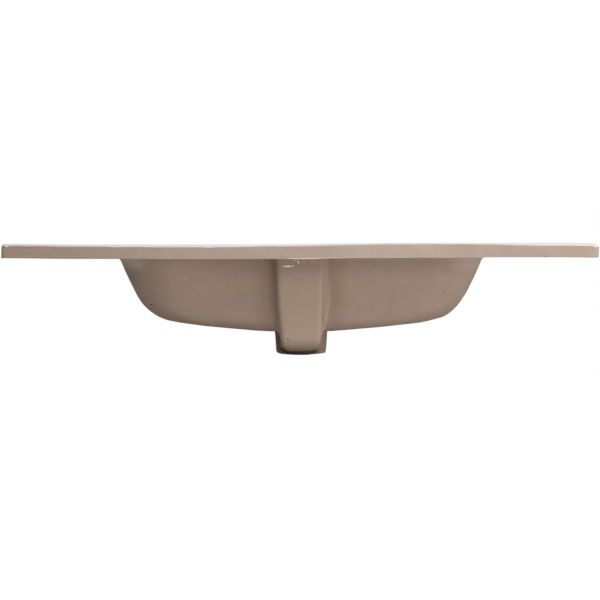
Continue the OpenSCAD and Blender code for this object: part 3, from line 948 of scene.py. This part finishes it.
def bisque_material(name, on_deck):
    """Bare fired clay: dry, buff, with a pinker and a yellower cast, fine grain, wipe marks and pits."""
    nodes = Nodes(bpy.data.materials.new(name))
    flat = nodes.place()
    wiped = nodes.place((1, 1, 6))
    nodes.measure(flat)
    cast = nodes.patches(flat, 6, 2, 0.35, 0.65)
    colour = nodes.tint(cast, BOWL_TONE, BOWL_TONE_PINK)
    if on_deck:
        colour = back_edge(nodes, cast, colour)
    fine = nodes.grain(flat, 900, 3, 0.7)
    colour = nodes.tint(nodes.patches(flat, 45, 4, 0.3, 0.7, 0, 0.2), colour, CLOUD_TONE)
    colour = nodes.tint(nodes.patches(wiped, 28, 3, 0.5, 0.8, 0, 0.22), colour, WIPE_TONE)
    colour = nodes.tint(nodes.span(fine, 0.35, 0.75, 0, 0.22), colour, GRAIN_TONE)
    colour = arris_highlight(nodes, colour) if on_deck else bowl_shades(nodes, flat, colour)
    marks = 0.0
    for pit in DECK_PITS if on_deck else BOWL_PITS:
        marks = nodes.math("MAXIMUM", marks, nodes.spot(flat, *pit))
    marks = nodes.times(marks, nodes.within(("y", 30, 50)))
    colour = nodes.tint(nodes.times(marks, 0.85), colour, PIT_TONE)
    rough = nodes.patches(flat, 120, 2, 0.2, 0.8, 0.78, 0.95)
    relief = nodes.math("ADD", nodes.times(fine, 0.25), nodes.times(nodes.grain(wiped, 60, 3), 0.75))
    relief = nodes.math("SUBTRACT", relief, nodes.times(marks, 1.2))
    return nodes.surface(colour, rough, relief, 0.35, 0.0006, {"Specular IOR Level": 0.12})


def glaze_material(name, tone, second_tone):
    """Glossy white glaze with a faint ripple and pinholes, thin and pinkish on the deck's outer edge."""
    nodes = Nodes(bpy.data.materials.new(name))
    flat = nodes.place()
    nodes.measure(flat)
    colour = nodes.tint(nodes.patches(flat, 5, 3, 0.3, 0.7), tone, second_tone)
    cells = nodes.add("ShaderNodeTexVoronoi", {"Vector": flat, "Scale": 55.0}, feature="F1")
    pinholes = nodes.span(cells["Distance"], 0.03, 0.018, 0, 0.5)
    colour = nodes.tint(pinholes, colour, PINHOLE_TONE)
    ends = nodes.within(("beside", DECK_W / 2 - TOP_EDGE_R, DECK_W / 2 - 1))
    back = nodes.within(("y", DECK_D / 2 - TOP_EDGE_R, DECK_D / 2 - 1))
    thin = nodes.times(nodes.math("MAXIMUM", ends, back), nodes.within(("z", 11.5, 15.5)))
    thin_tone = nodes.shade(THIN_GLAZE, THIN_GLAZE_PALE, 1, ("x", -20, 50), ("x", 340, 270))
    colour = nodes.tint(thin, colour, thin_tone)
    rough = nodes.patches(flat, 90, 3, 0.3, 0.8, 0.06, 0.13)
    rough = nodes.math("ADD", rough, nodes.times(thin, 0.35))
    ripple = nodes.math("ADD", nodes.grain(flat, 30, 2), nodes.times(nodes.grain(flat, 260, 2), 0.12))
    return nodes.surface(colour, rough, ripple, 0.25, 0.0008, {"IOR": 1.52})


def trim_material(name, tones, marks, rough, bump, metallic=0):
    """One tone with marks of another. Marks, rough and bump start with the scale of their grain."""
    nodes = Nodes(bpy.data.materials.new(name))
    flat = nodes.place()
    colour = nodes.tint(nodes.patches(flat, *marks), *tones)
    scale, *relief = bump
    return nodes.surface(colour, nodes.patches(flat, *rough), nodes.grain(flat, scale, 2), *relief,
                         {"Metallic": metallic})


deck_clay = bisque_material("deck_clay", True)
bisque = bisque_material("bisque", False)
glaze = glaze_material("glaze", GLAZE_TONE, GLAZE_TONE_COOL)
splash_glaze = glaze_material("splash_glaze", SPLASH_TONE, GLAZE_TONE)
# Polished plated brass with faint brushing and water marks
chrome = trim_material("chrome", (srgb(222, 224, 227), srgb(196, 198, 202)), (300, 4, 0.4, 0.7, 0, 0.5),
                       (500, 4, 0.3, 0.8, 0.06, 0.2), (900, 0.08, 0.0002), metallic=1)
# Black moulded rubber with a dusty bloom
rubber = trim_material("rubber", (srgb(34, 34, 36), srgb(70, 69, 68)), (400, 4, 0.45, 0.75, 0, 0.6),
                       (700, 3, 0.3, 0.8, 0.55, 0.8), (1500, 0.2, 0.0002))

# The pieces

deck_body = make("deck_body", build_deck(), deck_clay, ["deck"])
bowl_body = make("bowl_body", build_bowl(), bisque, ["bowl"])
boss = turned(boss_profile(), middle=(0, DRAIN_Y))
boss_body = make("boss_body", boss, bisque, ["drain_boss"])
channel_body = make("channel_body", build_channel(), bisque, ["overflow_channel"], CHANNEL_T)
basin_glaze = make("basin_glaze", build_coat(), glaze, ["deck_glaze", "bowl_glaze"], GLAZE_T)

# Splashes of glaze on the wall side: x, z, half width and half height.
SPLASHES = ((18.5, -14.7, 3.6, 1.4), (24, -14.8, 3.2, 1), (12.8, -14.3, 3.6, 0.9), (2.7, -7.8, 1, 2),
            (2, -10.2, 0.7, 1.2), (-6.6, -8, 0.8, 0.7), (7.8, -5.2, 3.2, 0.6), (22.2, -134.6, 1.1, 0.6),
            (259.7, -12, 1.4, 0.9), (278.8, -12.1, 0.9, 0.6), (185.2, -34.3, 0.9, 0.5),
            (392, 17.2, 0.8, 0.7))
SPLASH_H = 0.35
SPLASH_STEPS = 20
# Size and height of the rings of a splash, as shares of the whole, from under the clay to its middle
SPLASH_RINGS = ((1, -0.25), (1, 0.02), (0.85, 0.5), (0.55, 0.85), (0.2, 1))


def on_rear(x, z):
    """The first point on the clay that a line towards the front meets, in millimetres, and its normal."""
    rays = [body.ray_cast(Vector((x, 400, z)) * MM, Vector((0, -1, 0)))
            for body in (deck_body, channel_body, bowl_body)]
    _, point, normal, _ = max((ray for ray in rays if ray[0]), key=lambda ray: ray[1].y)
    return point / MM, normal


def build_splashes():
    """Small lenses of glaze that lie on the clay."""
    sheet = Sheet()
    for n, (x, z, half_w, half_h) in enumerate(SPLASHES):
        rows = []
        for share, rise in SPLASH_RINGS:
            row = []
            for k in range(SPLASH_STEPS):
                a = -2 * pi * k / SPLASH_STEPS
                ragged = 1 + 0.35 * wobble(cos(a) * 1.3, sin(a) * 1.3, n * 4.7)
                point, normal = on_rear(x + half_w * share * ragged * cos(a),
                                        z + half_h * share * ragged * sin(a))
                row.append(tuple(point + normal * SPLASH_H * rise))
            rows.append(row)
        first, last = sheet.loft(rows)
        sheet.faces += [tuple(reversed(first)), tuple(last)]
    return sheet


make("glaze_splashes", build_splashes(), splash_glaze, warp=False)


def build_port():
    """The way from the channel through the boss's wall into its chamber."""
    sheet = Sheet()
    half, high = PORT_W / 2, CHAMBER_HIGH_Z - 1
    section = ((-half, high - PORT_H), (half, high - PORT_H), (half, high), (-half, high))
    rows = [[(x, DRAIN_Y + s, z) for x, z in section] for s in (DRAIN_D / 2 + 4, BOSS_TOP_D / 2 + 2)]
    first, last = sheet.loft(rows)
    sheet.faces += [tuple(reversed(first)), tuple(last)]
    return sheet


cut(boss_body, build_port())

# The overflow inlet, with its own z axis going into the wall
inlet_s, inlet_z = wall_point(BACK_WALL, -OVERFLOW_DROP, WALL_T)
inlet_place = Matrix.Translation(Vector(warped((0, DRAIN_Y + inlet_s, inlet_z))) * MM)
inlet = inlet_place @ Matrix.Rotation(-pi / 2 - BACK_WALL[1], 4, "X")
hole = turned([(0.01, -6), (OVERFLOW_D / 2, -6), (OVERFLOW_D / 2, WALL_T + 6), (0.01, WALL_T + 6)], 64)
cut(bowl_body, hole, inlet)
cut(basin_glaze, hole, inlet)


def trim(name, points, material, node):
    """A turned piece of the overflow inlet."""
    sheet = turned(points)
    sheet.points = [tuple(inlet @ (Vector(p) * MM) / MM) for p in sheet.points]
    make(name, sheet, material, [node], warp=False)


barrel_in = BARREL_D / 2 - BARREL_T
barrel_out = BARREL_D / 2
flange = FLANGE_D / 2
ring_profile = [(barrel_in, BARREL_H), (barrel_out - 0.4, BARREL_H), (barrel_out, BARREL_H - 0.4),
                (barrel_out, 0), (flange - 0.3, 0)]
ring_profile += arc((flange - FLANGE_T, 0), FLANGE_T, 0, -90, 10)
ring_profile += [(flange - 4.2, -FLANGE_T + 0.1), (flange - 4.8, -FLANGE_T + 0.5),
                 (flange - 5.6, -FLANGE_T + 0.5)]
ring_profile += arc((barrel_in + 1.4, -FLANGE_T + 1.9), 1.4, -90, -180, 6)
ring_profile += [(barrel_in, 2)]
trim("inlet_ring", ring_profile, chrome, "overflow_ring")

sleeve_out = OVERFLOW_D / 2
pitch = WALL_T / SLEEVE_RIBS
sleeve_profile = [(barrel_out + 0.02, 0)]
for rib in range(SLEEVE_RIBS):
    for inset, share in ((0.6, 0.02), (0.15, 0.2), (0.02, 0.42), (0.15, 0.64), (0.6, 0.85)):
        sleeve_profile.append((sleeve_out - inset, (rib + share) * pitch))
sleeve_profile += [(sleeve_out - 0.6, WALL_T), (barrel_out + 0.02, WALL_T)]
trim("inlet_sleeve", sleeve_profile, rubber, "overflow_sleeve")

# Room, light and camera

ROOM_FLOOR_Z = -830
ROOM_HALF = 6000
FLOOR_SQUARE = 1500
AIM = (0, 0.1, -0.05)  # where most lamps point, in metres


def seen_by_eye(nodes):
    """1 for rays that show a background: from the camera, in a reflection or through glass."""
    path = nodes.add("ShaderNodeLightPath")
    either = nodes.math("MAXIMUM", path["Is Camera Ray"], path["Is Glossy Ray"])
    return nodes.math("MAXIMUM", either, path["Is Transmission Ray"])


def floor_material():
    """Plain pale floor that turns white to the eye away from the object, and is open from below."""
    nodes = Nodes(bpy.data.materials.new("floor"))
    nodes.tree.nodes.clear()
    where = nodes.place()
    tone = nodes.tint(nodes.grain(where, 3, 2), srgb(232, 231, 229), srgb(236, 235, 234))
    plain = nodes.add("ShaderNodeBsdfDiffuse", {"Color": tone})[0]
    dim = nodes.add("ShaderNodeBsdfDiffuse", {"Color": srgb(140, 139, 138)})[0]
    strength = nodes.span(nodes.level_distance(where), 0.5, 1.1, 0.3, 1)
    glow = nodes.add("ShaderNodeEmission", {"Color": (1, 1, 1, 1), "Strength": strength})[0]
    bright = nodes.add("ShaderNodeAddShader", {0: plain, 1: glow})[0]
    both = nodes.choose(seen_by_eye(nodes), dim, bright)
    below = nodes.add("ShaderNodeNewGeometry")["Backfacing"]
    clear = nodes.add("ShaderNodeBsdfTransparent")[0]
    nodes.add("ShaderNodeOutputMaterial", {"Surface": nodes.choose(below, both, clear)})
    return nodes.owner


def make_floor():
    sheet = Sheet()
    xs = range(-ROOM_HALF, ROOM_HALF + 1, FLOOR_SQUARE)
    sheet.loft([[(x, -y, ROOM_FLOOR_Z) for x in xs] for y in xs], closed=False)
    floor = mesh_object("floor", sheet.points, sheet.faces)
    floor.data.materials.append(floor_material())


def make_world():
    """Soft light from all round, which the eye sees as white."""
    nodes = Nodes(bpy.data.worlds.new("studio"))
    bpy.context.scene.world = nodes.owner
    nodes.tree.nodes.clear()
    soft, white = (nodes.add("ShaderNodeBackground", {"Color": (1, 1, 1, 1), "Strength": strength})[0]
                   for strength in (0.25, 1))
    nodes.add("ShaderNodeOutputWorld", {"Surface": nodes.choose(seen_by_eye(nodes), soft, white)})


def lamp(name, where, power, size=(1, 1), aim=AIM, colour=(1, 1, 1), mirrored=True):
    data = bpy.data.lights.new(name, "AREA")
    data.shape = "RECTANGLE"
    data.size, data.size_y = size
    data.energy = power
    data.color = colour
    obj = new_object(name, data)
    obj.location = where
    obj.rotation_euler = (Vector(aim) - Vector(where)).to_track_quat("-Z", "Y").to_euler()
    obj.visible_camera = False
    obj.visible_glossy = mirrored


def around_part(azimuth, elevation, distance=2.6):
    """A place round the part: azimuth 0 is on the wall side and 90 towards -X."""
    a, e = radians(azimuth), radians(elevation)
    return (-distance * sin(a) * cos(e), 0.1 + distance * cos(a) * cos(e),
            -0.05 + distance * sin(e))


make_floor()
make_world()
lamp("key_high", around_part(45, 35), 20, colour=(1, 0.99, 0.975), mirrored=False)
lamp("key_level", around_part(18, -1), 30, (1, 1.5))
lamp("right", around_part(75, -5), 11)
lamp("left", around_part(-85, 5), 6)
lamp("top", (0.1, -0.3, 1.9), 11, (1.5, 1.5), (0, -0.05, 0), mirrored=False)
lamp("front", around_part(160, 22), 26, (1.4, 1.4), (0, -0.1, -0.02), mirrored=False)

CAMERA_PLACE = (-0.02031, 2.4325, 0.00959)
CAMERA_TURN = radians(0.508)
CAMERA_TILT = radians(1.937)
CAMERA_LENS = 87.05

camera = new_object("camera", bpy.data.cameras.new("camera"))
camera.data.lens = CAMERA_LENS
camera.location = CAMERA_PLACE
camera.rotation_euler = (pi / 2 - CAMERA_TILT, 0, pi + CAMERA_TURN)
bpy.context.scene.camera = camera
bpy.context.scene.view_settings.view_transform = "Standard"
